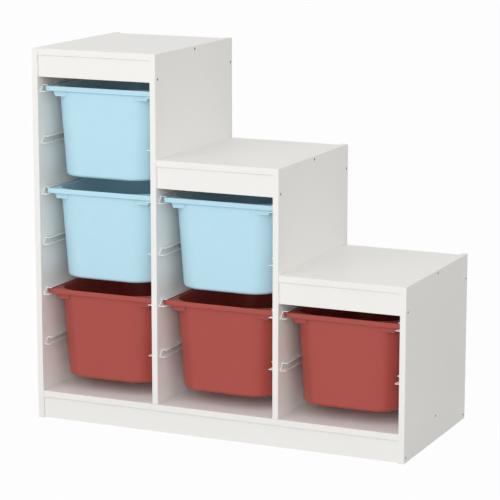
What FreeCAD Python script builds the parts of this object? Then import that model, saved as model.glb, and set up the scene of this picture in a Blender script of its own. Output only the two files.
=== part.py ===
import FreeCAD, Part
import math
import os

import Sketcher

# Stepped storage organizer for toys: three bays that descend from left to right, in a frame of
# foil-covered boards, with moulded bins that hang by their rims in plastic channel rails.
# Frame of the model: X along the width, -Y towards the user, +Z up, the floor at Z = 0, and the
# origin under the middle of the whole piece. Sizes are in millimetres.

DIMENSIONS = {
    # boards of the frame
    "frame_depth": 440,
    "bay_width": 310,
    "side_thick": 15,
    "board_thick": 16,
    "low_height": 427,
    "step_rise": 257,
    "board_front_set": 2,
    "top_back_set": 20,
    "bottom_level": 55,
    "cross_height": 54,
    "cross_thick": 16,
    "cross_front_set": 6,
    "cross_back_set": 2,
    "edge_ease": 0.5,
    # channel rails
    "rail_pitch": 128.5,
    "rail_drop": 100,
    "rail_front_set": 11,
    "rail_length": 415,
    "rail_height": 17.5,
    "rail_wall": 2,
    "rail_lower_reach": 15,
    "rail_upper_reach": 14,
    "rail_rake": 16,
    # bins
    "rim_front_set": 26,
    "rim_width": 300,
    "rim_length": 412,
    "rim_corner": 6,
    "rim_wall": 2.5,
    "rim_skirt": 12,
    "bin_height": 228,
    "tub_half": 139,
    "tub_inset": 6,
    "tub_corner": 66,
    "tub_lean": 12.5,
    "corner_lean": 3,
    "tub_wall": 2.5,
    "tub_floor": 3,
    "foot_bevel": 4,
    "foot_fill": 1,
    "tab_set": 5,
    "tab_inner": 100,
    "tab_outer": 130,
    "tab_drop": 11.5,
    "tab_slant": 5,
    "tab_depth": 12,
    "rim_play": 0.3,
    # joints of the boards
    "screw_head": 4.75,
    "head_depth": 3,
    "screw_shank": 3.2,
    "screw_length": 48,
    "screw_socket": 2.4,
    "socket_depth": 2.2,
    "hole_play": 0.1,
    "screw_below_top": 62,
    "screw_above_floor": 12,
    "wall_hole_radius": 2.5,
    "wall_hole_half": 100,
}

SHEET = "Dims"
TOTAL_WIDTH = "(3*Dims.bay_width+4*Dims.side_thick)"
FRONT = "(-Dims.frame_depth/2)"
BACK = "(Dims.frame_depth/2)"
BOTTOM_TOP = "(Dims.bottom_level+Dims.board_thick)"
HEIGHTS = {
    "tall": "(Dims.low_height+2*Dims.step_rise)",
    "mid": "(Dims.low_height+Dims.step_rise)",
    "low": "Dims.low_height",
}
BAYS = ("tall", "mid", "low")
RAIL_LEVELS = {"tall": 6, "mid": 4, "low": 2}
BIN_LEVELS = {
    "tall_bay_top_bin": ("tall", 6),
    "tall_bay_middle_bin": ("tall", 4),
    "tall_bay_bottom_bin": ("tall", 2),
    "mid_bay_top_bin": ("mid", 4),
    "mid_bay_bottom_bin": ("mid", 2),
    "low_bay_bin": ("low", 2),
}
RETURN_INNER = "(Dims.tab_outer-Dims.tab_slant-Dims.rim_wall)"
PLACEMENT_AXES = ("x", "y", "z")
HEAD_FLATS = 12
SHANK_FLATS = 8
SOCKET_FLATS = 6
TURN_TO_X = FreeCAD.Rotation(FreeCAD.Vector(0, 0, 1), FreeCAD.Vector(1, 0, 0))
TURN_TO_Y = FreeCAD.Rotation(FreeCAD.Vector(0, 0, 1), FreeCAD.Vector(0, 1, 0))

doc = FreeCAD.newDocument("organizer")
nodes = []


def fill_sheet():
    """The driving dimensions, one row each: the word in column A, its size in column B."""
    sheet = doc.addObject("Spreadsheet::Sheet", SHEET)
    for row, (alias, size) in enumerate(DIMENSIONS.items(), start=1):
        sheet.set(f"A{row}", alias)
        sheet.set(f"B{row}", str(size))
        sheet.setAlias(f"B{row}", alias)
    doc.recompute()
    return sheet


def value(expression):
    """The present size of an expression over the sheet's dimensions."""
    return float(sheet.evalExpression(expression.replace(SHEET + ".", "")))


def keep(thing, label):
    """Names a finished sub-part and lists it for export."""
    thing.Label = label
    nodes.append(thing)
    return thing


def place(thing, x, y, z):
    """Binds a thing's position to the sheet."""
    for axis, expression in zip(PLACEMENT_AXES, (x, y, z)):
        thing.setExpression(f"Placement.Base.{axis}", expression)


# ---------------------------------------------------------------- places in the frame


def bay_left(bay):
    """X of the inner face of the upright on the left of a bay."""
    pitch = "(Dims.bay_width+Dims.side_thick)"
    return f"(-{TOTAL_WIDTH}/2+Dims.side_thick+{BAYS.index(bay)}*{pitch})"


def bay_right(bay):
    return f"({bay_left(bay)}+Dims.bay_width)"


def rail_bottom(level):
    """Z of the underside of a rail: the second rail lies a fixed drop below the low bay's top."""
    return f"(Dims.low_height-Dims.rail_drop+({level}-2)*Dims.rail_pitch-Dims.rail_height/2)"


def bin_bottom(level):
    """Z of a bin's underside, with its rim's skirt just clear of the rail's lower flange."""
    skirt = f"({rail_bottom(level)}+Dims.rail_wall+Dims.rim_play)"
    return f"({skirt}+Dims.rim_skirt-Dims.bin_height)"


def cross_bottom(bay):
    """Z of the underside of the cross boards below a bay's top."""
    return f"({HEIGHTS[bay]}-Dims.board_thick-Dims.cross_height)"


FRONT_CROSS_Y = f"({FRONT}+Dims.cross_front_set)"
BACK_CROSS_Y = f"({BACK}-Dims.cross_back_set-Dims.cross_thick)"
FRONT_SCREW_Y = f"({FRONT_CROSS_Y}+Dims.cross_thick/2)"
BACK_SCREW_Y = f"({BACK_CROSS_Y}+Dims.cross_thick/2)"
LEFT_FACE = f"(-{TOTAL_WIDTH}/2)"
RIGHT_FACE = f"({TOTAL_WIDTH}/2)"


def top_screws(bay):
    """Y and Z of the three screws that hold a bay's top and its two cross boards."""
    low = f"({HEIGHTS[bay]}-Dims.screw_below_top)"
    return (
        (FRONT_SCREW_Y, low),
        ("0", f"({HEIGHTS[bay]}-Dims.board_thick/2)"),
        (BACK_SCREW_Y, low),
    )


def base_screws():
    """Y and Z of the three screws that hold the bottom board, the plinth and the back rail."""
    return (
        (FRONT_SCREW_Y, "Dims.screw_above_floor"),
        ("0", f"({BOTTOM_TOP}-Dims.board_thick/2)"),
        (BACK_SCREW_Y, "Dims.screw_above_floor"),
    )


# ---------------------------------------------------------------- solids that are combined


def bar(name, flats, radius, length, start, turn):
    """A bar of many flats that stands for a round one, so that what repeats stays light."""
    prism = doc.addObject("Part::Prism", name)
    prism.Polygon = flats
    prism.setExpression("Circumradius", radius)
    prism.setExpression("Height", length)
    prism.Placement.Rotation = turn
    place(prism, *start)
    return prism


def compound(name, things):
    group = doc.addObject("Part::Compound", name)
    group.Links = things
    return group


def minus(name, base, tools):
    """The base with every tool cut away, or the base itself where there is nothing to cut."""
    if not tools:
        return base
    cut = doc.addObject("Part::Cut", name)
    cut.Base = base
    cut.Tool = compound(name + "_tools", tools)
    return cut


def eased_board(name, corner, size):
    """A board with its edges eased by a small chamfer, from its low corner and its three sizes."""
    blank = doc.addObject("Part::Box", name + "_blank")
    for side, expression in zip(("Length", "Width", "Height"), size):
        blank.setExpression(side, expression)
    place(blank, *corner)
    doc.recompute([blank])
    ease = value("Dims.edge_ease")
    board = doc.addObject("Part::Chamfer", name + "_eased")
    board.Base = blank
    board.Edges = [(number + 1, ease, ease) for number in range(len(blank.Shape.Edges))]
    return board


# ---------------------------------------------------------------- screws


def stepped(name, head_x, inward, seat, play):
    """A screw's head and shank, which start at an upright's outer face, wider by a play."""
    turn = TURN_TO_X if inward > 0 else TURN_TO_X.inverted()
    start = (head_x, *seat)
    head = bar(name + "_head", HEAD_FLATS, f"Dims.screw_head+{play}", "Dims.head_depth", start, turn)
    length = f"Dims.screw_length+{play}"
    shank = bar(name + "_shank", SHANK_FLATS, f"Dims.screw_shank+{play}", length, start, turn)
    return [head, shank]


def screw_bores(name, head_x, inward, seats):
    """Room for a row of screws: a recess for each head and a bore for each shank."""
    bores = []
    for number, seat in enumerate(seats, start=1):
        bores += stepped(f"{name}_bore_{number}", head_x, inward, seat, "Dims.hole_play")
    return bores


def screw(name, head_x, inward, seat):
    """A connecting screw with a flush head and a hexagon socket."""
    blank = doc.addObject("Part::MultiFuse", name + "_blank")
    blank.Shapes = stepped(name, head_x, inward, seat, "0")
    turn = TURN_TO_X if inward > 0 else TURN_TO_X.inverted()
    start = (head_x, *seat)
    socket = bar(name + "_socket", SOCKET_FLATS, "Dims.screw_socket", "Dims.socket_depth", start, turn)
    return minus(name, blank, [socket])


def screw_group(label, head_x, inward, seats):
    """One upright's screws, their heads flush with its outer face."""
    screws = [
        screw(f"{label}_{number}", head_x, inward, seat)
        for number, seat in enumerate(seats, start=1)
    ]
    keep(compound(label, screws), label)


def make_screws():
    screw_group("left_side_screws", LEFT_FACE, 1, top_screws("tall") + base_screws())
    screw_group("tall_partition_screws", bay_left("mid"), -1, top_screws("tall"))
    screw_group("mid_partition_screws", bay_left("low"), -1, top_screws("mid"))
    screw_group("right_side_screws", RIGHT_FACE, -1, top_screws("low") + base_screws())


# ---------------------------------------------------------------- boards of the frame


def upright(label, x, bottom, top, bores):
    """A vertical board, from its left face, with the bores of its screws."""
    size = ("Dims.side_thick", "Dims.frame_depth", f"{top}-{bottom}")
    board = eased_board(label, (x, FRONT, bottom), size)
    keep(minus(label + "_bored", board, bores), label)


def make_uprights():
    """Two sides that stand on the floor, and two partitions that stand on the bottom board."""
    upright(
        "left_side_panel", LEFT_FACE, "0", HEIGHTS["tall"],
        screw_bores("left_side", LEFT_FACE, 1, top_screws("tall") + base_screws()),
    )
    upright(
        "tall_partition", bay_right("tall"), BOTTOM_TOP, HEIGHTS["tall"],
        screw_bores("tall_partition", bay_left("mid"), -1, top_screws("tall")),
    )
    upright(
        "mid_partition", bay_right("mid"), BOTTOM_TOP, HEIGHTS["mid"],
        screw_bores("mid_partition", bay_left("low"), -1, top_screws("mid")),
    )
    upright(
        "right_side_panel", bay_right("low"), "0", HEIGHTS["low"],
        screw_bores("right_side", RIGHT_FACE, -1, top_screws("low") + base_screws()),
    )


def cross_bores(bay, name, number):
    """The bore in a board's right end for one of a bay's screws, and in the tall bay's left end."""
    seat = top_screws(bay)[number:number + 1]
    right_head = f"({bay_right(bay)}+Dims.side_thick)"
    bores = screw_bores(name + "_right", right_head, -1, seat)
    if bay == "tall":
        bores += screw_bores(name + "_left", LEFT_FACE, 1, seat)
    return bores


def make_tops():
    """The three tops, which lie between the uprights, flush with their upper edges."""
    depth = "(Dims.frame_depth-Dims.board_front_set-Dims.top_back_set)"
    for bay in BAYS:
        label = bay + "_top_panel"
        corner = (
            bay_left(bay),
            f"({FRONT}+Dims.board_front_set)",
            f"({HEIGHTS[bay]}-Dims.board_thick)",
        )
        board = eased_board(label, corner, ("Dims.bay_width", depth, "Dims.board_thick"))
        keep(minus(label + "_bored", board, cross_bores(bay, label, 1)), label)


def wall_fixing_bores():
    """Two bores through the tall bay's back board, for the fittings that stop it from tipping."""
    z = f"({cross_bottom('tall')}+Dims.cross_height/2)"
    middle = f"({bay_left('tall')}+Dims.bay_width/2)"
    bores = []
    for number, side in enumerate(("-", "+"), start=1):
        bore = doc.addObject("Part::Cylinder", f"wall_fixing_{number}")
        bore.setExpression("Radius", "Dims.wall_hole_radius")
        bore.setExpression("Height", "Dims.cross_thick+2")
        bore.Placement.Rotation = TURN_TO_Y
        place(bore, f"({middle}{side}Dims.wall_hole_half)", f"({BACK_CROSS_Y}-1)", z)
        bores.append(bore)
    return bores


def make_cross_boards():
    """The boards below each top that tie the uprights: an apron in front and a rail behind."""
    size = ("Dims.bay_width", "Dims.cross_thick", "Dims.cross_height")
    rows = (("_front_apron", FRONT_CROSS_Y, 0), ("_back_rail", BACK_CROSS_Y, 2))
    for bay in BAYS:
        for suffix, y, number in rows:
            label = bay + suffix
            board = eased_board(label, (bay_left(bay), y, cross_bottom(bay)), size)
            bores = cross_bores(bay, label, number)
            if label == "tall_back_rail":
                bores += wall_fixing_bores()
            keep(minus(label + "_bored", board, bores), label)


def base_bores(name, number):
    """The bores in both ends of one of the three boards of the base."""
    seat = base_screws()[number:number + 1]
    left = screw_bores(name + "_left", LEFT_FACE, 1, seat)
    return left + screw_bores(name + "_right", RIGHT_FACE, -1, seat)


def make_base():
    """The bottom board, the plinth below its front edge and the rail below its back edge."""
    width = f"({TOTAL_WIDTH}-2*Dims.side_thick)"
    depth = "(Dims.frame_depth-Dims.board_front_set-Dims.cross_back_set)"
    cross = (width, "Dims.cross_thick", "Dims.cross_height")
    cross_z = "(Dims.bottom_level-Dims.cross_height)"
    rows = (
        ("plinth", FRONT_CROSS_Y, cross_z, cross),
        ("bottom_panel", f"({FRONT}+Dims.board_front_set)", "Dims.bottom_level",
         (width, depth, "Dims.board_thick")),
        ("bottom_back_rail", BACK_CROSS_Y, cross_z, cross),
    )
    for number, (label, y, z, size) in enumerate(rows):
        board = eased_board(label, (bay_left("tall"), y, z), size)
        keep(minus(label + "_bored", board, base_bores(label, number)), label)


# ---------------------------------------------------------------- sketches


def sketch_on(body, role, name, offset="0"):
    """A sketch on one of a body's own origin planes, moved along that plane's normal."""
    plane = next(part for part in body.Origin.OriginFeatures if part.Role == role)
    sketch = body.newObject("Sketcher::SketchObject", name)
    sketch.AttachmentSupport = [(plane, "")]
    sketch.MapMode = "FlatFace"
    sketch.setExpression("AttachmentOffset.Base.z", offset)
    return sketch


def hold_point(sketch, geometry, end, x, y):
    """Ties one end of a line to a place measured from the sketch's origin."""
    for kind, expression, axis in (("DistanceX", x, -2), ("DistanceY", y, -1)):
        distance = value(expression)
        if distance == 0:
            sketch.addConstraint(Sketcher.Constraint("PointOnObject", geometry, end, axis))
            continue
        ends = (-1, 1, geometry, end) if distance > 0 else (geometry, end, -1, 1)
        number = sketch.addConstraint(Sketcher.Constraint(kind, *ends, abs(distance)))
        bound = expression if distance > 0 else f"-({expression})"
        sketch.setExpression(f"Constraints[{number}]", bound)


def polygon(sketch, corners):
    """A closed outline of straight lines through corners given as expressions."""
    points = [FreeCAD.Vector(value(x), value(y), 0) for x, y in corners]
    lines = []
    for start, end in zip(points, points[1:] + points[:1]):
        lines.append(sketch.addGeometry(Part.LineSegment(start, end), False))
    for line, following in zip(lines, lines[1:] + lines[:1]):
        sketch.addConstraint(Sketcher.Constraint("Coincident", line, 2, following, 1))
    for line, (x, y) in zip(lines, corners):
        hold_point(sketch, line, 1, x, y)


def rounded_rectangle(sketch, half, front, back, corner):
    """A rectangle with equal round corners, even about the sketch's Y axis."""
    w, y0, y1, r = (value(expression) for expression in (half, front, back, corner))
    quarter = math.pi / 2
    lines = []
    arcs = []
    line_ends = (
        ((r - w, y0), (w - r, y0)),
        ((w, y0 + r), (w, y1 - r)),
        ((w - r, y1), (r - w, y1)),
        ((-w, y1 - r), (-w, y0 + r)),
    )
    centres = ((w - r, y0 + r), (w - r, y1 - r), (r - w, y1 - r), (r - w, y0 + r))
    for number, ((start, end), centre) in enumerate(zip(line_ends, centres)):
        line = Part.LineSegment(FreeCAD.Vector(*start, 0), FreeCAD.Vector(*end, 0))
        lines.append(sketch.addGeometry(line, False))
        circle = Part.Circle(FreeCAD.Vector(*centre, 0), FreeCAD.Vector(0, 0, 1), r)
        arc = Part.ArcOfCircle(circle, (number - 1) * quarter, number * quarter)
        arcs.append(sketch.addGeometry(arc, False))
    for number in range(4):
        following = lines[(number + 1) % 4]
        sketch.addConstraint(Sketcher.Constraint("Tangent", lines[number], 2, arcs[number], 1))
        sketch.addConstraint(Sketcher.Constraint("Tangent", arcs[number], 2, following, 1))
    for arc in arcs[1:]:
        sketch.addConstraint(Sketcher.Constraint("Equal", arcs[0], arc))
    for line, kind in zip(lines, ("Horizontal", "Vertical", "Horizontal", "Vertical")):
        sketch.addConstraint(Sketcher.Constraint(kind, line))
    radius = sketch.addConstraint(Sketcher.Constraint("Radius", arcs[0], r))
    sketch.setExpression(f"Constraints[{radius}]", corner)
    right_edge = sketch.addConstraint(Sketcher.Constraint("DistanceX", -1, 1, lines[1], 1, w))
    sketch.setExpression(f"Constraints[{right_edge}]", half)
    left_edge = sketch.addConstraint(Sketcher.Constraint("DistanceX", lines[3], 1, -1, 1, w))
    sketch.setExpression(f"Constraints[{left_edge}]", half)
    for line, expression, level in ((lines[0], front, y0), (lines[2], back, y1)):
        if level == 0:
            sketch.addConstraint(Sketcher.Constraint("PointOnObject", line, 1, -1))
            continue
        number = sketch.addConstraint(Sketcher.Constraint("DistanceY", -1, 1, line, 1, level))
        sketch.setExpression(f"Constraints[{number}]", expression)


def pad(body, sketch, length, name, reverse=False):
    feature = body.newObject("PartDesign::Pad", name)
    feature.Profile = sketch
    feature.setExpression("Length", length)
    feature.Reversed = reverse
    return feature


def loft(body, kind, sections, name):
    """A ruled loft through sketches from the lowest to the highest, added or taken away."""
    feature = body.newObject("PartDesign::" + kind, name)
    feature.Profile = sections[0]
    feature.Sections = sections[1:]
    feature.Ruled = True
    return feature


# ---------------------------------------------------------------- channel rails


def rail_profile(sketch, side):
    """The channel's section, its back on the wall and its mouth towards the bay."""
    wall = f"({side})*Dims.rail_wall"
    lower = f"({side})*Dims.rail_lower_reach"
    upper = f"({side})*Dims.rail_upper_reach"
    floor = "Dims.rail_wall"
    ceiling = "(Dims.rail_height-Dims.rail_wall)"
    corners = (
        ("0", "0"), (lower, "0"), (lower, floor), (wall, floor),
        (wall, ceiling), (upper, ceiling), (upper, "Dims.rail_height"), ("0", "Dims.rail_height"),
    )
    polygon(sketch, corners)


def make_rail(label, side, x, level):
    """A moulded channel with a raked front end."""
    body = doc.addObject("PartDesign::Body", label + "_body")
    section = sketch_on(body, "XZ_Plane", label + "_section")
    rail_profile(section, side)
    pad(body, section, "Dims.rail_length", label + "_channel", reverse=True)
    rake = sketch_on(body, "YZ_Plane", label + "_rake")
    polygon(rake, (
        ("-1", "Dims.rail_wall"), ("0", "Dims.rail_wall"),
        ("Dims.rail_rake", "Dims.rail_height+1"), ("-1", "Dims.rail_height+1"),
    ))
    cut = body.newObject("PartDesign::Pocket", label + "_rake_cut")
    cut.Profile = rake
    cut.Type = "ThroughAll"
    cut.Midplane = True
    place(body, x, f"({FRONT}+Dims.rail_front_set)", rail_bottom(level))
    keep(body, label)


def make_rails():
    for bay in BAYS:
        for level in range(1, RAIL_LEVELS[bay] + 1):
            make_rail(f"{bay}_left_rail_{level}", 1, bay_left(bay), level)
            make_rail(f"{bay}_right_rail_{level}", -1, bay_right(bay), level)


# ---------------------------------------------------------------- bins


def tub_outline(body, name, level, inset, corner_cut):
    """The tub's plan at one level, drawn in from its plan at the mouth."""
    sketch = sketch_on(body, "XY_Plane", name, level)
    rounded_rectangle(
        sketch,
        f"(Dims.tub_half-{inset})",
        f"(Dims.tub_inset+{inset})",
        f"(Dims.rim_length-Dims.tub_inset-{inset})",
        f"(Dims.tub_corner-{corner_cut})",
    )
    return sketch


def rim_outline(sketch):
    rounded_rectangle(sketch, "Dims.rim_width/2", "0", "Dims.rim_length", "Dims.rim_corner")


def make_tub(body, label):
    """The tub as a solid: walls that lean out from a bevelled foot to the mouth."""
    foot = "(Dims.tub_lean+Dims.foot_bevel)"
    foot_corner = "(Dims.corner_lean+Dims.foot_bevel/2)"
    sections = [
        tub_outline(body, label + "_foot", "0", foot, foot_corner),
        tub_outline(body, label + "_knee", "Dims.foot_bevel", "Dims.tub_lean", "Dims.corner_lean"),
        tub_outline(body, label + "_mouth", "Dims.bin_height", "0", "0"),
    ]
    loft(body, "AdditiveLoft", sections, label + "_tub")


def make_rim(body, label):
    """A flat rim plate round the tub's mouth, with a skirt below its outer edge all round."""
    plate = sketch_on(body, "XY_Plane", label + "_plate", "Dims.bin_height-Dims.rim_wall")
    rim_outline(plate)
    pad(body, plate, "Dims.rim_wall", label + "_rim_plate")
    ring = sketch_on(body, "XY_Plane", label + "_ring", "Dims.bin_height-Dims.rim_skirt")
    rim_outline(ring)
    half = "(Dims.rim_width/2-Dims.rim_wall)"
    far = "(Dims.rim_length-Dims.rim_wall)"
    near = "Dims.rim_wall"
    polygon(ring, ((f"-{half}", near), (half, near), (half, far), (f"-{half}", far)))
    pad(body, ring, "Dims.rim_skirt-Dims.rim_wall", label + "_rim_skirt")


def tab_outline(sketch, inner, outer):
    """Two outlines, one on each side of the bin, whose outer edges slant in to their lower ends."""
    top = "(Dims.bin_height-Dims.rim_wall/2)"
    bottom = "(Dims.bin_height-Dims.rim_skirt-Dims.tab_drop)"
    for side in ("-1", "1"):
        polygon(sketch, (
            (f"({side})*{outer}", top),
            (f"({side})*({outer}-Dims.tab_slant)", bottom),
            (f"({side})*{inner}", bottom),
            (f"({side})*{inner}", top),
        ))


def make_tabs(body, label):
    """Four tabs that hang behind the skirt near the corners, each turned back at its outer end."""
    far = "(Dims.rim_length-Dims.tab_set-Dims.rim_wall)"
    deep = "(Dims.rim_length-Dims.tab_set-Dims.tab_depth)"
    rows = (
        ("front_tabs", "Dims.tab_inner", "Dims.tab_set", "Dims.rim_wall"),
        ("back_tabs", "Dims.tab_inner", far, "Dims.rim_wall"),
        ("front_returns", RETURN_INNER, "Dims.tab_set", "Dims.tab_depth"),
        ("back_returns", RETURN_INNER, deep, "Dims.tab_depth"),
    )
    for name, inner, near, length in rows:
        tabs = sketch_on(body, "XZ_Plane", f"{label}_{name}_outline", f"-{near}")
        tab_outline(tabs, inner, "Dims.tab_outer")
        pad(body, tabs, length, f"{label}_{name}", reverse=True)


def hollow(body, label):
    """Hollows the tub from above; its walls thicken a little towards the bevelled foot."""
    floor = "(Dims.tub_lean+Dims.tub_wall+Dims.foot_fill)"
    floor_corner = "(Dims.corner_lean+Dims.tub_wall+Dims.foot_fill)"
    sections = [
        tub_outline(body, label + "_floor", "Dims.tub_floor", floor, floor_corner),
        tub_outline(body, label + "_opening", "Dims.bin_height", "Dims.tub_wall", "Dims.tub_wall"),
    ]
    loft(body, "SubtractiveLoft", sections, label + "_cavity")


def make_bin(label, bay, level):
    """A tapered tub with large round corners, its rim and tabs, hollowed from above."""
    body = doc.addObject("PartDesign::Body", label + "_body")
    make_tub(body, label)
    make_rim(body, label)
    make_tabs(body, label)
    hollow(body, label)
    middle = f"({bay_left(bay)}+Dims.bay_width/2)"
    place(body, middle, f"({FRONT}+Dims.rim_front_set)", bin_bottom(level))
    keep(body, label)


def make_bins():
    for label, (bay, level) in BIN_LEVELS.items():
        make_bin(label, bay, level)


# ---------------------------------------------------------------- checks and files


def check_document():
    """Stops with a message if any object failed or any sub-part isn't a sound closed solid."""
    for thing in doc.Objects:
        if {"Invalid", "Error"} & set(thing.State):
            raise RuntimeError(f"{thing.Label} failed: {thing.State}")
    for node in nodes:
        shape = node.Shape
        if shape.isNull() or not shape.isValid() or not shape.Solids:
            raise RuntimeError(f"{node.Label} has no valid solid")


def write_parts():
    os.makedirs("parts", exist_ok=True)
    for node in nodes:
        node.Shape.exportStep(os.path.join("parts", node.Label + ".step"))
        solids = len(node.Shape.Solids)
        print(f"{node.Label}: {solids} solid(s), {node.Shape.Volume / 1000:.1f} cm3")


sheet = fill_sheet()
make_uprights()
make_tops()
make_cross_boards()
make_base()
make_screws()
make_rails()
make_bins()
doc.recompute()
check_document()
write_parts()
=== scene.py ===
import math
from typing import NamedTuple

import bmesh
import bpy
from bpy.props import (
    FloatProperty,
    FloatVectorProperty,
    IntProperty,
    PointerProperty,
)
from mathutils import Matrix, Vector


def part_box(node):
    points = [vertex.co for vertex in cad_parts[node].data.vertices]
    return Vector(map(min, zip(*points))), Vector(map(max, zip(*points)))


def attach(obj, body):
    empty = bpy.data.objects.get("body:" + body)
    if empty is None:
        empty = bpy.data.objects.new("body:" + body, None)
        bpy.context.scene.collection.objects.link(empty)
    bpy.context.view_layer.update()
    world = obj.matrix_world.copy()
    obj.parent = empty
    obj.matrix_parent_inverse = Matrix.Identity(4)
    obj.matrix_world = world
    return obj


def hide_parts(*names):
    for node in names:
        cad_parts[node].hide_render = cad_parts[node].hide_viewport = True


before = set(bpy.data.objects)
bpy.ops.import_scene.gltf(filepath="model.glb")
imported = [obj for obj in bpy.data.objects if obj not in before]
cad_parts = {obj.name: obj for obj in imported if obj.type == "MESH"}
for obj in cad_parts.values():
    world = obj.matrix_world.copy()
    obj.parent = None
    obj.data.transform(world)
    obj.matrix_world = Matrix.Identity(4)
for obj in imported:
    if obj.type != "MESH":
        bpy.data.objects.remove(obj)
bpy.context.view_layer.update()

bl_info = {
    "name": "Stepped toy storage",
    "version": (1, 0, 0),
    "blender": (4, 5, 0),
    "location": "View3D > Sidebar > Toy storage",
    "description": "Finishes a stepped toy storage frame and its pull-out bins",
    "category": "Object",
}

MM = 0.001
# Faces that meet at more than this angle have a sharp edge between them.
SHARP = math.radians(35)
FRAME_BODY = "frame"
BAYS = ("tall", "mid", "low")
BOARDS = [
    *(bay + "_top_panel" for bay in BAYS),
    *(bay + "_front_apron" for bay in BAYS),
    *(bay + "_back_rail" for bay in BAYS),
    "left_side_panel",
    "tall_partition",
    "mid_partition",
    "right_side_panel",
    "bottom_panel",
    "plinth",
    "bottom_back_rail",
]
BLUE_BINS = ("tall_bay_top_bin", "tall_bay_middle_bin", "mid_bay_top_bin")
RED_BINS = ("tall_bay_bottom_bin", "mid_bay_bottom_bin", "low_bay_bin")
RAIL_LEVELS = {"tall": 6, "mid": 4, "low": 2}


# ---------------------------------------------------------------- what a user would change


def length(name, description, default):
    return FloatProperty(
        name=name, description=description, default=default, min=0.0, unit="LENGTH", precision=4
    )


def share(name, description, default):
    return FloatProperty(
        name=name, description=description, default=default, min=0.0, max=1.0, subtype="FACTOR"
    )


def colour(name, description, default):
    return FloatVectorProperty(
        name=name, description=description, default=default, min=0.0, max=1.0, size=3,
        subtype="COLOR",
    )


def position(name, description, default):
    return FloatVectorProperty(
        name=name, description=description, default=default, size=3,
        subtype="TRANSLATION", unit="LENGTH",
    )


def power(name, description, default):
    return FloatProperty(name=name, description=description, default=default, unit="POWER")


def bearing(name, description, degrees):
    return FloatProperty(
        name=name, description=description, default=math.radians(degrees), unit="ROTATION"
    )


class BoardSettings(bpy.types.PropertyGroup):
    """The foil that covers the boards."""

    foil: colour("Foil", "Colour of the white foil", (0.92, 0.911, 0.882))
    foil_roughness: share("Roughness", "How matt the foil is", 0.45)
    foil_grain: length("Grain", "Size of the foil's pebbled grain", 1.2 * MM)


class BinSettings(bpy.types.PropertyGroup):
    """The moulded bins: their plastic and the shapes that the frame's solids leave out."""

    blue: colour("Blue", "Colour of the light blue bins", (0.53, 0.80, 0.92))
    red: colour("Red", "Colour of the brick red bins", (0.425, 0.067, 0.052))
    plastic_roughness: share("Roughness", "How matt the moulded plastic is", 0.33)
    plastic_grain: length("Grain", "Size of the mould's spark grain", 0.7 * MM)
    wall: length("Wall", "Thickness of the tub's wall and of the rim", 2.5 * MM)
    floor: length("Floor", "Thickness of the tub's floor", 3 * MM)
    foot_round: length("Foot", "Rounding between the wall and the floor", 8 * MM)
    mouth_round: length("Mouth", "Rounding of the mouth's inner edge", 4 * MM)
    edge_round: length("Edges", "Rounding of the rim's outer edges", 1.6 * MM)
    tub_inset: length("Tub inset", "From the rim's front face to the tub's mouth", 6 * MM)
    tub_side: length("Tub side", "From the rim's side face to the tub's mouth", 11 * MM)
    tub_corner: length("Tub corner", "Radius of the tub's upright corners at its mouth", 66 * MM)
    tub_lean: length("Lean", "How far the tub's walls lean in down to its foot", 12.5 * MM)
    corner_lean: length("Corner lean", "What the upright corners lose down to the foot", 3 * MM)
    rim_corner: length("Rim corner", "Radius of the rim's corners", 6 * MM)
    skirt: length("Skirt", "Height of the skirt round the rim", 12 * MM)
    tab_inner: length("Tab inner end", "From the bin's middle to a tab's inner end", 96 * MM)
    tab_outer: length("Tab outer end", "From the bin's middle to a tab's outer end", 133.5 * MM)
    tab_drop: length("Tab drop", "How far the tabs hang below the skirt", 14 * MM)
    tab_slant: length("Tab slant", "How far a tab's outer end slants in downwards", 5 * MM)
    tab_depth: length("Tab depth", "How far a tab turns back at its outer end", 8.5 * MM)
    tab_step: length("Tab step", "How far a tab's inner end stands out of the tub", 1.5 * MM)
    corner_steps: IntProperty(name="Steps", description="Faces round a corner", default=14, min=4)


class RailSettings(bpy.types.PropertyGroup):
    """The channel rails that the bins hang in."""

    milky: colour("Plastic", "Colour of the milky plastic", (0.87, 0.865, 0.84))
    # The edge colour is a painted highlight: tips, ends and rounded edges of a rail are painted
    # lighter than its plastic.
    painted_edge_highlight: colour("Edges", "Colour of its edges, where light gathers", (1.0, 0.995, 0.98))
    roughness: share("Roughness", "How matt the plastic is", 0.3)
    grain: length("Grain", "Size of the plastic's faint grain", 0.9 * MM)
    see_through: share("See-through", "How much light passes through the flanks", 0.1)
    wall: length("Wall", "Thickness of the channel's web and flanges", 2 * MM)
    upper_short: length("Upper flange", "How much shorter the upper flange reaches", 1 * MM)
    rake: length("Rake", "How far the front end slopes back over its height", 16 * MM)
    edge_round: length("Edges", "Rounding of the channel's edges", 0.6 * MM)


class ScrewSettings(bpy.types.PropertyGroup):
    """The connecting screws in the uprights."""

    zinc: colour("Zinc", "Colour of the plated heads", (0.64, 0.64, 0.63))
    # The recess colour is painted shade: the socket faces are painted nearly black to darken the
    # hollow.
    socket_painted_shade: colour("Recess", "Colour of the dull sockets", (0.09, 0.09, 0.085))
    roughness: share("Roughness", "How matt the plating is", 0.35)
    grain: length("Grain", "Size of the plating's grain", 0.3 * MM)
    head: length("Head", "Radius of a head", 4.68 * MM)
    head_depth: length("Head depth", "Thickness of a head", 3 * MM)
    shank: length("Shank", "Radius of a shank", 3 * MM)
    socket: length("Socket", "Radius of the hexagon socket at its corners", 2.7 * MM)
    socket_depth: length("Socket depth", "Depth of the socket", 2.8 * MM)
    in_top: length("In the top", "From an upright's top to its middle screw", 8 * MM)
    below_top: length("Below top", "From an upright's top to its lower screws", 62 * MM)
    above_floor: length("Above floor", "From the floor to the lowest screws", 12 * MM)


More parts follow.
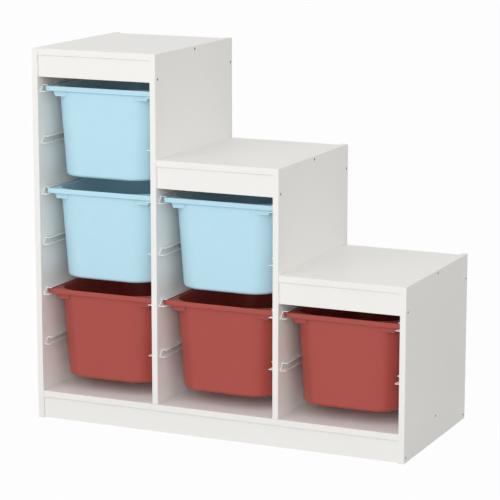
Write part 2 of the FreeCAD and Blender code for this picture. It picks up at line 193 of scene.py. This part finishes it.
class StudioSettings(bpy.types.PropertyGroup):
    """The floor, the lights and the camera."""

    floor_size: length("Floor", "Width of the pale floor", 40.0)
    floor_tone: share("Floor tone", "How much light the floor throws back", 0.52)
    floor_white: share("Floor white", "How plain a white the floor shows to the camera", 0.97)
    sky: share("Sky", "Level of the even light from all round", 0.69)
    key_place: position("Key place", "Where the large lamp stands, in front", (1.9, -5.7, 1.8))
    key_aim: position("Key aim", "What the large lamp points at", (0.0, 0.0, 0.45))
    key_size: length("Key size", "Width of the large lamp", 3.2)
    key_watts: power("Key", "Power of the large lamp", 109.0)
    fill_place: position(
        "Fill place", "Where the small lamp stands, at the left", (-1.7, -3.1, 2.2)
    )
    fill_aim: position("Fill aim", "What the small lamp points at", (-0.3, 0.0, 0.6))
    fill_size: length("Fill size", "Width of the small lamp", 1.8)
    fill_watts: power("Fill", "Power of the small lamp", 19.0)
    camera_place: position("Camera", "Where the camera stands", (2.186, -4.819, 1.504))
    camera_turn: bearing("Turn", "How far the camera looks to the left of +Y", 24.44)
    camera_dip: bearing("Dip", "How far the camera looks down", 11.42)
    camera_lens: FloatProperty(
        name="Lens", description="Focal length on a 36 mm frame", default=155.1, min=1.0,
        unit="CAMERA",
    )


SETTINGS = (BoardSettings, BinSettings, RailSettings, ScrewSettings, StudioSettings)


# ---------------------------------------------------------------- surfaces


SURFACE_IOR = 1.49
# Nearly all of a noise texture's values lie between these.
NOISE_LOW = 0.3
NOISE_HIGH = 0.7
FOIL_GLOSS = 0.2
BIN_GLOW = 0.12
BIN_GLOW_REACH = 1.5 * MM
RAIL_GLOW = 0.3
RAIL_GLOW_REACH = 2 * MM


class Finish(NamedTuple):
    """What a surface is like up close. Patches and relief are in metres.

    The colour drifts by a share of itself, in patches. The roughness falls and rises from its
    own level, in patches of another size. The grain has a relief and layers of finer detail.
    """

    drift: float
    drift_patch: float
    smoother: float
    rougher: float
    sheen_patch: float
    relief: float
    detail: float


FOIL_FINISH = Finish(
    drift=0.008, drift_patch=0.09, smoother=0.05, rougher=0.05, sheen_patch=0.02,
    relief=0.012 * MM, detail=4.0,
)
BIN_FINISH = Finish(
    drift=0.02, drift_patch=0.035, smoother=0.04, rougher=0.06, sheen_patch=0.012,
    relief=0.014 * MM, detail=3.0,
)
RAIL_FINISH = Finish(
    drift=0.015, drift_patch=0.02, smoother=0.06, rougher=0.08, sheen_patch=0.006,
    relief=0.008 * MM, detail=2.0,
)
SCREW_FINISH = Finish(
    drift=0.15, drift_patch=1.5 * MM, smoother=0.07, rougher=0.15, sheen_patch=0.8 * MM,
    relief=0.01 * MM, detail=2.0,
)


def noise(tree, grain, detail=2.0):
    """Noise in the object's own space whose lumps are about as large as the grain."""
    place = tree.nodes.new("ShaderNodeTexCoord")
    texture = tree.nodes.new("ShaderNodeTexNoise")
    texture.inputs["Scale"].default_value = 1.0 / grain
    texture.inputs["Detail"].default_value = detail
    tree.links.new(place.outputs["Object"], texture.inputs["Vector"])
    return texture.outputs["Fac"]


def mottle(tree, shader, tint, change, patch):
    """Lets the colour drift a little darker and lighter over the surface."""
    blend = tree.nodes.new("ShaderNodeMix")
    blend.data_type = "RGBA"
    dark = [channel * (1 - change) for channel in tint]
    light = [min(channel * (1 + change), 1.0) for channel in tint]
    tree.links.new(noise(tree, patch), blend.inputs["Factor"])
    blend.inputs["A"].default_value = (*dark, 1.0)
    blend.inputs["B"].default_value = (*light, 1.0)
    tree.links.new(blend.outputs["Result"], shader.inputs["Base Color"])


def vary_sheen(tree, shader, low, high, patch):
    """Lets the roughness run between two levels."""
    levels = tree.nodes.new("ShaderNodeMapRange")
    levels.inputs["From Min"].default_value = NOISE_LOW
    levels.inputs["From Max"].default_value = NOISE_HIGH
    levels.inputs["To Min"].default_value = low
    levels.inputs["To Max"].default_value = high
    tree.links.new(noise(tree, patch), levels.inputs["Value"])
    tree.links.new(levels.outputs["Result"], shader.inputs["Roughness"])


def emboss(tree, shader, grain, relief, detail):
    """A fine raised grain."""
    bump = tree.nodes.new("ShaderNodeBump")
    bump.inputs["Strength"].default_value = 1.0
    bump.inputs["Distance"].default_value = relief
    tree.links.new(noise(tree, grain, detail), bump.inputs["Height"])
    tree.links.new(bump.outputs["Normal"], shader.inputs["Normal"])


def new_surface(name, tint, roughness, grain, finish):
    """A material with a drifting colour, an uneven sheen and a fine grain, and its shader."""
    material = bpy.data.materials.new(name)
    material.use_nodes = True
    material.diffuse_color = (*tint, 1.0)
    tree = material.node_tree
    shader = tree.nodes["Principled BSDF"]
    shader.inputs["Base Color"].default_value = (*tint, 1.0)
    shader.inputs["Roughness"].default_value = roughness
    shader.inputs["IOR"].default_value = SURFACE_IOR
    smooth = roughness - finish.smoother
    rough = roughness + finish.rougher
    mottle(tree, shader, tint, finish.drift, finish.drift_patch)
    vary_sheen(tree, shader, smooth, rough, finish.sheen_patch)
    emboss(tree, shader, grain, finish.relief, finish.detail)
    return material, shader


def let_light_in(shader, weight, reach):
    """Scatters part of the light under the surface."""
    shader.inputs["Subsurface Weight"].default_value = weight
    shader.inputs["Subsurface Radius"].default_value = (1.0, 1.0, 1.0)
    shader.inputs["Subsurface Scale"].default_value = reach


def foil_surface(settings):
    """Matt white foil with a barely raised grain, a little uneven over a board."""
    material, shader = new_surface(
        "white_foil", settings.foil, settings.foil_roughness, settings.foil_grain, FOIL_FINISH
    )
    shader.inputs["Specular IOR Level"].default_value = FOIL_GLOSS
    return material


def bin_surface(name, tint, settings):
    """Satin moulded plastic with a spark grain and a slight drift of its colour."""
    material, shader = new_surface(
        name, tint, settings.plastic_roughness, settings.plastic_grain, BIN_FINISH
    )
    let_light_in(shader, BIN_GLOW, BIN_GLOW_REACH)
    return material


def rail_surface(name, tint, see_through, settings):
    """Milky plastic that lets some light in, in a given tint; a lighter tint makes the painted
    highlight of the edges.
    """
    material, shader = new_surface(name, tint, settings.roughness, settings.grain, RAIL_FINISH)
    shader.inputs["Transmission Weight"].default_value = see_through
    let_light_in(shader, RAIL_GLOW, RAIL_GLOW_REACH)
    return material


def screw_surface(name, tint, settings):
    """Zinc plating, dulled in small patches; in the near-black tint it is the sockets' painted
    shade.
    """
    material, shader = new_surface(name, tint, settings.roughness, settings.grain, SCREW_FINISH)
    shader.inputs["Metallic"].default_value = 1.0
    return material


# ---------------------------------------------------------------- meshes


def skin(mesh, rings):
    """Joins rings of equally many points with four-sided faces, and caps the first and last."""
    for ring, following in zip(rings, rings[1:]):
        for number in range(len(ring)):
            after = (number + 1) % len(ring)
            mesh.faces.new((ring[number], ring[after], following[after], following[number]))
    mesh.faces.new(reversed(rings[0]))
    mesh.faces.new(rings[-1])


def add_ring(mesh, points):
    """A ring's points as new corners of the mesh."""
    return [mesh.verts.new(point) for point in points]


def new_piece(name, mesh, surfaces):
    """A smooth-shaded object from a bmesh, which it uses up."""
    bmesh.ops.recalc_face_normals(mesh, faces=mesh.faces)
    data = bpy.data.meshes.new(name)
    mesh.to_mesh(data)
    mesh.free()
    data.shade_smooth()
    for surface in surfaces:
        data.materials.append(surface)
    return new_object(name, data)


def new_object(name, data):
    """An object in the scene."""
    piece = bpy.data.objects.new(name, data)
    bpy.context.scene.collection.objects.link(piece)
    return piece


def ease_edges(piece, width, surface_number):
    """Rounds the sharp edges, in one of the piece's own surfaces; the rails use their lighter
    surface here, a painted highlight.
    """
    bevel = piece.modifiers.new("eased_edges", "BEVEL")
    bevel.width = width
    bevel.segments = 2
    bevel.material = surface_number
    bevel.limit_method = "ANGLE"
    bevel.angle_limit = SHARP
    keep_flat(piece)


def keep_flat(piece):
    """Keeps smooth shading from rounding off the flat faces."""
    normals = piece.modifiers.new("flat_faces", "WEIGHTED_NORMAL")
    normals.keep_sharp = True


# ---------------------------------------------------------------- bins


class BinShape:
    """One bin's shape about its middle, from its outer sizes: x across, y back, z up."""

    # Points along a straight side and rings along a wall, as shares of their length.
    side_stops = (0.0, 0.12, 0.3, 0.5, 0.7, 0.88)
    wall_stops = (0.25, 0.5, 0.75)
    foot_steps = 6
    mouth_steps = 4
    edge_steps = 3
    lip_steps = 6
    # Height of the skirt's rounded lower edge, where 1 is a full half circle.
    lip_flatness = 0.6
    least_corner = 0.4 * MM
    # The small fillet where the tub meets the rim's plate.
    fillet_rise = 1.5 * MM
    fillet_reach = 0.8 * MM

    def __init__(self, settings, size):
        self.made = settings
        self.half = size.x / 2
        self.depth = size.y
        self.height = size.z

    def plan(self, half, near, far, corner):
        """The points of a rounded rectangle, always as many and in the same order."""
        across = half - corner
        first = near + corner
        last = far - corner
        runs = (
            ((-across, near), (across, near), (across, first), -90),
            ((half, first), (half, last), (across, last), 0),
            ((across, far), (-across, far), (-across, last), 90),
            ((-half, last), (-half, first), (-across, first), 180),
        )
        points = []
        for start, end, centre, turn in runs:
            points += [Vector(start).lerp(Vector(end), stop) for stop in self.side_stops]
            for number in range(self.made.corner_steps):
                angle = math.radians(turn + 90 * number / self.made.corner_steps)
                spoke = Vector((math.cos(angle), math.sin(angle)))
                points.append(Vector(centre) + corner * spoke)
        return points

    def tub_sizes(self, level, inset=0.0):
        """Half the tub's width, its front and the radius of its corners at a level."""
        lean = 1 - level / self.height
        inward = self.made.tub_lean * lean + inset
        corner = self.made.tub_corner - self.made.corner_lean * lean - inset
        return self.half - self.made.tub_side - inward, self.made.tub_inset + inward, corner

    def tub(self, level, inset):
        """The plan of the tub's outside at a level, drawn in by an inset."""
        half, near, corner = self.tub_sizes(level, inset)
        return self.plan(half, near, self.depth - near, corner)

    def tub_front(self, across, level):
        """How far back the tub's front stands at a distance from the bin's middle."""
        half, near, corner = self.tub_sizes(level)
        past = max(across - (half - corner), 0.0)
        return near + corner - math.sqrt(corner ** 2 - past ** 2)

    def rim(self, inset):
        """The plan of the rim, drawn in by an inset."""
        corner = max(self.made.rim_corner - inset, self.least_corner)
        return self.plan(self.half - inset, inset, self.depth - inset, corner)

    def tub_ring(self, level, inset=0.0):
        return [(x, y, level) for x, y in self.tub(level, inset)]

    def rim_ring(self, level, inset=0.0):
        return [(x, y, level) for x, y in self.rim(inset)]

    def quarter(self, radius, steps):
        """(across, up) for a quarter circle that starts level and ends upright."""
        angles = [math.pi / 2 * number / steps for number in range(steps + 1)]
        return [(radius * (1 - math.sin(a)), radius * (1 - math.cos(a))) for a in angles]

    def outside(self):
        """Rings from the underside up the tub's outside to the rim's plate."""
        foot = self.quarter(self.made.foot_round, self.foot_steps)
        rings = [self.tub_ring(up, across) for across, up in foot]
        under = self.height - self.made.wall
        for stop in self.wall_stops:
            rings.append(self.tub_ring(under * stop))
        rings.append(self.tub_ring(under - self.fillet_rise))
        rings.append(self.tub_ring(under, -self.fillet_reach))
        return rings

    def edge(self):
        """Rings round the rim: its underside, down inside the skirt, under it and up outside."""
        made = self.made
        small = made.edge_round
        under = self.height - made.wall
        low = self.height - made.skirt
        rings = [
            self.rim_ring(under, made.wall + small),
            self.rim_ring(under - small, made.wall),
        ]
        for number in range(self.lip_steps, -1, -1):
            angle = math.pi * number / self.lip_steps
            across = made.wall / 2 * (1 - math.cos(angle))
            up = made.wall / 2 * (1 - math.sin(angle))
            rings.append(self.rim_ring(low + up * self.lip_flatness, across))
        for across, up in reversed(self.quarter(small, self.edge_steps)):
            rings.append(self.rim_ring(self.height - up, across))
        return rings

    def inside(self):
        """Rings from the mouth's rounded edge down the tub's inside to its floor."""
        made = self.made
        rings = []
        for across, up in self.quarter(made.mouth_round, self.mouth_steps):
            rings.append(self.tub_ring(self.height - up, made.wall - across))
        for stop in reversed(self.wall_stops):
            rings.append(self.tub_ring(self.height * stop, made.wall))
        for across, up in reversed(self.quarter(made.foot_round - made.wall, self.foot_steps)):
            rings.append(self.tub_ring(made.floor + up, made.wall + across))
        return rings


# A tab's bend: the middle of its turn lies this many walls in from both faces.
TAB_BEND = 1.4
TAB_BEND_STEPS = 4
# How far a tab's top lies below the rim's face, in walls.
TAB_TOP = 0.6
TAB_SHARP = math.radians(50)
TAB_EASE = 0.5 * MM


def tab_plan(settings, slant):
    """One tab's plan, from its inner end in the tub's wall round its outside and back."""
    wall = settings.wall
    deep = settings.tab_depth
    outer = settings.tab_outer - slant
    bend = TAB_BEND * wall
    angles = [math.pi / 2 * number / TAB_BEND_STEPS for number in range(TAB_BEND_STEPS + 1)]
    points = [(settings.tab_inner, wall), (settings.tab_inner, 0.0)]
    for a in angles:
        points.append((outer - bend + bend * math.sin(a), bend - bend * math.cos(a)))
    points += [(outer, deep), (outer - wall, deep)]
    for a in reversed(angles):
        points.append((outer - bend + wall * math.sin(a), bend - wall * math.cos(a)))
    return points


def add_tabs(mesh, shape):
    """The four tabs that carry the tub's ends on straight, and bend back outside."""
    made = shape.made
    top = shape.height - made.wall * TAB_TOP
    open_top = shape.height - made.skirt
    low = open_top - made.tab_drop
    for side in (-1, 1):
        for end in (-1, 1):
            rings = []
            for level, slant in ((top, 0.0), (open_top, 0.0), (low, made.tab_slant)):
                front = shape.tub_front(made.tab_inner, level) - made.tab_step
                ring = []
                for x, y in tab_plan(made, slant):
                    near = front + y
                    ring.append((side * x, near if end < 0 else shape.depth - near, level))
                rings.append(add_ring(mesh, ring))
            skin(mesh, rings)


def bin_mesh(settings, size):
    """A whole bin as one mesh: the tub with its rim, and the four tabs with eased edges."""
    mesh = bmesh.new()
    shape = BinShape(settings, size)
    rings = shape.outside() + shape.edge() + shape.inside()
    skin(mesh, [add_ring(mesh, ring) for ring in rings])
    tabs = bmesh.new()
    add_tabs(tabs, shape)
    bmesh.ops.recalc_face_normals(tabs, faces=tabs.faces)
    sharp = [edge for edge in tabs.edges if edge.calc_face_angle(0.0) > TAB_SHARP]
    bmesh.ops.bevel(tabs, geom=sharp, offset=TAB_EASE, segments=2, profile=0.5, affect="EDGES")
    extra = bpy.data.meshes.new("bin_tabs")
    tabs.to_mesh(extra)
    tabs.free()
    mesh.from_mesh(extra)
    bpy.data.meshes.remove(extra)
    return mesh


# ---------------------------------------------------------------- rails and screws


# Surface numbers of a rail: its plastic, and a lighter copy on its tips, ends and rounded edges
# that is a painted highlight.
RAIL_FLANK = 0
RAIL_PAINTED_HIGHLIGHT = 1
SCREW_FLATS = 36
SCREW_EASE = 0.2 * MM
SCREW_POINT = 3 * MM
SCREW_POINT_SHARE = 0.4
HEAD_SUNK = 0.05 * MM
SOCKET_EASE = 0.25 * MM
SOCKET_FLOOR_SHARE = 0.92
SOCKET_SLACK = 0.1 * MM


def rail_mesh(settings, size, side):
    """A channel with its back at x = 0, its mouth to the given side and a raked front end."""
    wall = settings.wall
    reach = size.x
    short = reach - settings.upper_short
    top = size.z
    under = top - wall
    # Two faces close an end: the lower flange, and the web with the upper flange.
    lower = [(0, 0), (reach, 0), (reach, wall), (wall, wall), (0, wall)]
    upper = [(0, wall), (wall, wall), (wall, under), (short, under), (short, top), (0, top)]
    outline = lower[:-1] + upper[2:] + lower[-1:]
    mesh = bmesh.new()
    front = {}
    back = {}
    for x, z in outline:
        raked = settings.rake * max(z - wall, 0) / under
        front[x, z] = mesh.verts.new((side * x, raked, z))
        back[x, z] = mesh.verts.new((side * x, size.y, z))
    for corner, following in zip(outline, outline[1:] + outline[:1]):
        run = (front[corner], front[following], back[following], back[corner])
        # Faces at the flange tips take the lighter surface, a painted highlight.
        painted_highlight_at_mouth = corner[0] == following[0] and corner[0] in (reach, short)
        mesh.faces.new(run).material_index = RAIL_PAINTED_HIGHLIGHT if painted_highlight_at_mouth else RAIL_FLANK
    # Both end faces take the lighter surface too, a painted highlight.
    for end in (front, back):
        for half in (lower, upper):
            mesh.faces.new([end[corner] for corner in half]).material_index = RAIL_PAINTED_HIGHLIGHT
    return mesh


def screw_seats(top, cross_front, cross_back, settings, base):
    """(y, z) of each screw in an upright, from its top's height and the crosspieces it holds."""
    front = sum((corner.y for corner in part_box(cross_front)), 0.0) / 2
    back = sum((corner.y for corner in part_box(cross_back)), 0.0) / 2
    low = top - settings.below_top
    seats = [(front, low), (0.0, top - settings.in_top), (back, low)]
    if base:
        level = sum((corner.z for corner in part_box("bottom_panel")), 0.0) / 2
        seats += [(front, settings.above_floor), (0.0, level), (back, settings.above_floor)]
    return seats


def screw_angles():
    """Where the corners of a screw's rings lie."""
    return [2 * math.pi * number / SCREW_FLATS for number in range(SCREW_FLATS)]


def round_ring(mesh, radius, depth):
    """A ring about the x axis, depth behind the head's face."""
    points = [(-depth, radius * math.cos(a), radius * math.sin(a)) for a in screw_angles()]
    return add_ring(mesh, points)


def hexagon_ring(mesh, radius, depth):
    """A hexagon with as many points as a round ring."""
    points = []
    for angle in screw_angles():
        off_middle = angle % (math.pi / 3) - math.pi / 6
        reach = radius * math.cos(math.pi / 6) / math.cos(off_middle)
        points.append((-depth, reach * math.cos(angle), reach * math.sin(angle)))
    return add_ring(mesh, points)


def screw_mesh(settings, long):
    """A screw that points along -x from the middle of its head's face."""
    mesh = bmesh.new()
    head = settings.head
    shank = settings.shank
    socket = settings.socket
    deep = settings.socket_depth
    rings = [
        hexagon_ring(mesh, socket * SOCKET_FLOOR_SHARE, deep),
        hexagon_ring(mesh, socket, deep - SCREW_EASE),
        hexagon_ring(mesh, socket, SOCKET_EASE),
        hexagon_ring(mesh, socket + SOCKET_EASE, HEAD_SUNK),
        round_ring(mesh, head - SCREW_EASE, HEAD_SUNK),
        round_ring(mesh, head, HEAD_SUNK + SCREW_EASE),
        round_ring(mesh, head, settings.head_depth),
        round_ring(mesh, shank, settings.head_depth),
        round_ring(mesh, shank, long - SCREW_POINT),
        round_ring(mesh, shank * SCREW_POINT_SHARE, long),
    ]
    skin(mesh, rings)
    # Faces inside the hexagon socket take the second surface, painted shade.
    for face in mesh.faces:
        widest = max(math.hypot(corner.co.y, corner.co.z) for corner in face.verts)
        deepest = -min(corner.co.x for corner in face.verts)
        in_painted_socket_shade = widest < socket + SOCKET_SLACK and deepest < deep + SOCKET_SLACK
        face.material_index = int(in_painted_socket_shade)
    return mesh


def add_screws(mesh, screw, face, inward, seats):
    """Copies a screw to each seat, its head in a face of the upright and its point inward."""
    for y, z in seats:
        turn = Matrix.Identity(4) if inward < 0 else Matrix.Rotation(math.pi, 4, "Z")
        place = Matrix.Translation((face, y, z)) @ turn
        copy = screw.copy()
        copy.transform(place)
        mesh.from_mesh(copy)
        bpy.data.meshes.remove(copy)


# ---------------------------------------------------------------- operators


class ORGANIZER_OT_cover_boards(bpy.types.Operator):
    """Covers every board of the frame in white foil"""

    bl_idname = "organizer.cover_boards"
    bl_label = "Cover boards"

    def execute(self, context):
        surface = foil_surface(context.scene.organizer_boards)
        for name in BOARDS:
            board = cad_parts[name]
            board.data.materials.clear()
            board.data.materials.append(surface)
        return {"FINISHED"}


class ORGANIZER_OT_mould_bins(bpy.types.Operator):
    """Moulds the six bins, each with a rounded rim and foot, and four tabs"""

    bl_idname = "organizer.mould_bins"
    bl_label = "Mould bins"

    def execute(self, context):
        settings = context.scene.organizer_bins
        rows = (
            (BLUE_BINS, "blue_bin", settings.blue),
            (RED_BINS, "red_bin", settings.red),
        )
        for nodes, slot, tint in rows:
            surface = bin_surface(slot + "_plastic", tint, settings)
            for node in nodes:
                low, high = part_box(node)
                mesh = bin_mesh(settings, high - low)
                piece = new_piece(node + "_moulding", mesh, [surface])
                keep_flat(piece)
                piece.location = ((low.x + high.x) / 2, low.y, low.z)
                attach(piece, node + "_body")
                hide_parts(node)
        return {"FINISHED"}


class ORGANIZER_OT_fit_rails(bpy.types.Operator):
    """Fits the channel rails on both walls of every bay"""

    bl_idname = "organizer.fit_rails"
    bl_label = "Fit rails"

    def execute(self, context):
        settings = context.scene.organizer_rails
        # The second surface is the same plastic, lighter, as a painted highlight on the rails'
        # tips, ends and rounded edges.
        surfaces = [
            rail_surface("milky_rail_plastic", settings.milky, settings.see_through, settings),
            rail_surface("milky_rail_painted_highlight", settings.painted_edge_highlight, 0.0, settings),
        ]
        for side, turn in (("left", 1), ("right", -1)):
            nodes = [
                f"{bay}_{side}_rail_{level}"
                for bay in BAYS
                for level in range(1, RAIL_LEVELS[bay] + 1)
            ]
            low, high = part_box(nodes[0])
            mesh = rail_mesh(settings, high - low, turn)
            pattern = new_piece(nodes[0] + "_channel", mesh, surfaces)
            pieces = [pattern]
            for node in nodes[1:]:
                pieces.append(new_object(node + "_channel", pattern.data))
            for node, piece in zip(nodes, pieces):
                low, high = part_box(node)
                ease_edges(piece, settings.edge_round, RAIL_PAINTED_HIGHLIGHT)
                piece.location = (low.x if turn > 0 else high.x, low.y, low.z)
                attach(piece, FRAME_BODY)
                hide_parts(node)
        return {"FINISHED"}


class ORGANIZER_OT_drive_screws(bpy.types.Operator):
    """Drives the connecting screws into the four uprights"""

    bl_idname = "organizer.drive_screws"
    bl_label = "Drive screws"

    def execute(self, context):
        settings = context.scene.organizer_screws
        # The second surface is painted shade in the sockets.
        surfaces = [
            screw_surface("zinc_plating", settings.zinc, settings),
            screw_surface("zinc_socket_painted_shade", settings.socket_painted_shade, settings),
        ]
        # Each upright's screws, its board, the bay whose crosspieces they hold, the way they
        # point along X, and whether they hold the base too.
        rows = (
            ("left_side", "left_side_panel", "tall", 1, True),
            ("tall_partition", "tall_partition", "tall", -1, False),
            ("mid_partition", "mid_partition", "mid", -1, False),
            ("right_side", "right_side_panel", "low", -1, True),
        )
        for name, board, bay, inward, base in rows:
            low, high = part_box(board)
            node = name + "_screws"
            node_low, node_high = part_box(node)
            screw = bpy.data.meshes.new("screw")
            one = screw_mesh(settings, node_high.x - node_low.x)
            bmesh.ops.recalc_face_normals(one, faces=one.faces)
            one.to_mesh(screw)
            one.free()
            seats = screw_seats(high.z, bay + "_front_apron", bay + "_back_rail", settings, base)
            mesh = bmesh.new()
            add_screws(mesh, screw, low.x if inward > 0 else high.x, inward, seats)
            piece = new_piece(node + "_turned", mesh, surfaces)
            piece.data.set_sharp_from_angle(angle=SHARP)
            bpy.data.meshes.remove(screw)
            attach(piece, FRAME_BODY)
            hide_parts(node)
        return {"FINISHED"}


def share_seen(tree, level):
    """The level for rays of the camera, gloss and glass, and 0 for all others."""
    path = tree.nodes.new("ShaderNodeLightPath")
    seen = path.outputs["Is Camera Ray"]
    for ray in ("Is Glossy Ray", "Is Transmission Ray"):
        either = tree.nodes.new("ShaderNodeMath")
        either.operation = "MAXIMUM"
        tree.links.new(seen, either.inputs[0])
        tree.links.new(path.outputs[ray], either.inputs[1])
        seen = either.outputs[0]
    part = tree.nodes.new("ShaderNodeMath")
    part.operation = "MULTIPLY"
    part.inputs[1].default_value = level
    tree.links.new(seen, part.inputs[0])
    return part.outputs[0]


def floor_surface(settings):
    """A floor that shows nearly plain white and keeps a faint shadow."""
    material = bpy.data.materials.new("studio_floor")
    material.use_nodes = True
    tree = material.node_tree
    tree.nodes.clear()
    paint = tree.nodes.new("ShaderNodeBsdfDiffuse")
    tone = settings.floor_tone
    paint.inputs["Color"].default_value = (tone, tone, tone, 1.0)
    glow = tree.nodes.new("ShaderNodeEmission")
    blend = tree.nodes.new("ShaderNodeMixShader")
    output = tree.nodes.new("ShaderNodeOutputMaterial")
    tree.links.new(share_seen(tree, settings.floor_white), blend.inputs["Fac"])
    tree.links.new(paint.outputs["BSDF"], blend.inputs[1])
    tree.links.new(glow.outputs["Emission"], blend.inputs[2])
    tree.links.new(blend.outputs["Shader"], output.inputs["Surface"])
    return material


def light_world(world, level):
    """Even light from all round, in front of a white background."""
    world.use_nodes = True
    tree = world.node_tree
    tree.nodes.clear()
    sky = tree.nodes.new("ShaderNodeBackground")
    sky.inputs["Strength"].default_value = level
    white = tree.nodes.new("ShaderNodeBackground")
    blend = tree.nodes.new("ShaderNodeMixShader")
    output = tree.nodes.new("ShaderNodeOutputWorld")
    for background in (sky, white):
        background.inputs["Color"].default_value = (1.0, 1.0, 1.0, 1.0)
    tree.links.new(share_seen(tree, 1.0), blend.inputs["Fac"])
    tree.links.new(sky.outputs["Background"], blend.inputs[1])
    tree.links.new(white.outputs["Background"], blend.inputs[2])
    tree.links.new(blend.outputs["Shader"], output.inputs["Surface"])


SENSOR_WIDTH = 36.0
VIEW_END = 100.0


def add_lamp(name, place, aim, size, watts):
    """A round soft lamp that points at a place."""
    lamp = bpy.data.lights.new(name, "AREA")
    lamp.shape = "DISK"
    lamp.size = size
    lamp.energy = watts
    holder = bpy.data.objects.new(name, lamp)
    bpy.context.scene.collection.objects.link(holder)
    holder.location = place
    holder.rotation_euler = (Vector(aim) - Vector(place)).to_track_quat("-Z", "Y").to_euler()


class ORGANIZER_OT_set_stage(bpy.types.Operator):
    """Sets the pale floor, the soft lights and the camera"""

    bl_idname = "organizer.set_stage"
    bl_label = "Set stage"

    def execute(self, context):
        settings = context.scene.organizer_studio
        scene = context.scene
        scene.view_settings.view_transform = "Standard"
        scene.world = bpy.data.worlds.new("studio_world")
        light_world(scene.world, settings.sky)
        half = settings.floor_size / 2
        floor = bpy.data.meshes.new("studio_floor")
        corners = [(-half, -half, 0), (half, -half, 0), (half, half, 0), (-half, half, 0)]
        floor.from_pydata(corners, [], [(0, 1, 2, 3)])
        floor.materials.append(floor_surface(settings))
        stand = bpy.data.objects.new("studio_floor", floor)
        scene.collection.objects.link(stand)
        add_lamp(
            "key_lamp", settings.key_place, settings.key_aim, settings.key_size,
            settings.key_watts,
        )
        add_lamp(
            "fill_lamp", settings.fill_place, settings.fill_aim, settings.fill_size,
            settings.fill_watts,
        )
        camera = bpy.data.cameras.new("photograph_camera")
        camera.lens = settings.camera_lens
        camera.sensor_width = SENSOR_WIDTH
        camera.clip_end = VIEW_END
        viewer = bpy.data.objects.new("photograph_camera", camera)
        scene.collection.objects.link(viewer)
        viewer.location = settings.camera_place
        viewer.rotation_euler = (math.pi / 2 - settings.camera_dip, 0, settings.camera_turn)
        scene.camera = viewer
        return {"FINISHED"}


OPERATORS = (
    ORGANIZER_OT_cover_boards,
    ORGANIZER_OT_mould_bins,
    ORGANIZER_OT_fit_rails,
    ORGANIZER_OT_drive_screws,
    ORGANIZER_OT_set_stage,
)


class VIEW3D_PT_organizer(bpy.types.Panel):
    """Lists the steps that finish the organizer, with their sizes and colours"""

    bl_idname = "VIEW3D_PT_organizer"
    bl_label = "Toy storage"
    bl_space_type = "VIEW_3D"
    bl_region_type = "UI"
    bl_category = "Toy storage"

    def draw(self, context):
        for settings, operator in zip(SETTINGS, OPERATORS):
            box = self.layout.box()
            box.operator(operator.bl_idname)
            group = getattr(context.scene, POINTERS[settings])
            for name in settings.__annotations__:
                box.prop(group, name)


POINTERS = {
    BoardSettings: "organizer_boards",
    BinSettings: "organizer_bins",
    RailSettings: "organizer_rails",
    ScrewSettings: "organizer_screws",
    StudioSettings: "organizer_studio",
}
CLASSES = (*SETTINGS, *OPERATORS, VIEW3D_PT_organizer)


def register():
    for item in CLASSES:
        bpy.utils.register_class(item)
    for settings, name in POINTERS.items():
        setattr(bpy.types.Scene, name, PointerProperty(type=settings))


def unregister():
    for name in POINTERS.values():
        delattr(bpy.types.Scene, name)
    for item in reversed(CLASSES):
        bpy.utils.unregister_class(item)


def main():
    register()
    bpy.ops.organizer.cover_boards()
    bpy.ops.organizer.mould_bins()
    bpy.ops.organizer.fit_rails()
    bpy.ops.organizer.drive_screws()
    bpy.ops.organizer.set_stage()


if __name__ == "__main__":
    main()
